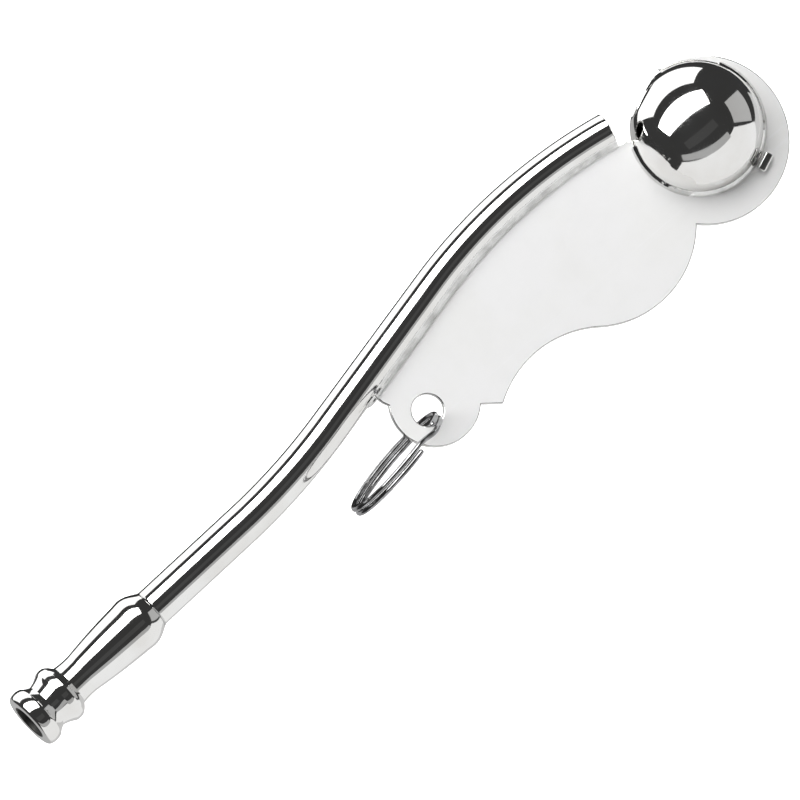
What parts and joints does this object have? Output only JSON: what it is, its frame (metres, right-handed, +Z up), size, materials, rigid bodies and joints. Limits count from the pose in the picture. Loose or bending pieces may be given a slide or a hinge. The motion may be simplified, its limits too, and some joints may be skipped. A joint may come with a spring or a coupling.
{
  "type": "boatswain's call",
  "caption": "Boatswain's call: a bent tube blowing across a hollow ball, soldered to a flat keel that carries a split ring, with a turned mouthpiece.",
  "frame": {"origin": "middle of the footprint, on the surface the call lies on", "axes": "+X from the mouthpiece to the ball, +Y from the keel to the tube, +Z up out of the surface"},
  "size_m": [0.1299, 0.0254, 0.0175],
  "materials": {
    "polished_nickel": "mirror-polished bright nickel plate",
    "satin_nickel": "satin nickel plate",
    "silver_solder": "smooth plated solder fillet",
    "ring_steel": "bright drawn steel wire"
  },
  "bodies": {
    "call": {"gun_tube": "polished_nickel", "mouthpiece": "polished_nickel", "mouthpiece_solder": "silver_solder", "keel_plate": "satin_nickel", "gun_solder_front": "silver_solder", "gun_solder_back": "silver_solder", "keel_toe_solder": "silver_solder", "buoy_shell_front": "polished_nickel", "buoy_shell_back": "polished_nickel", "buoy_solder_front": "silver_solder", "buoy_solder_back": "silver_solder", "buoy_stop": "satin_nickel"},
    "ring": {"split_ring": "ring_steel"}
  },
  "joints": [
    {"name": "shackle_swing", "type": "hinge", "parent": "call", "child": "ring", "pos_m": [0.00222, -0.00345, 0.00672], "axis": [-0.0391, 0, 0.9992], "range_deg": [-18, 145]}
  ]
}
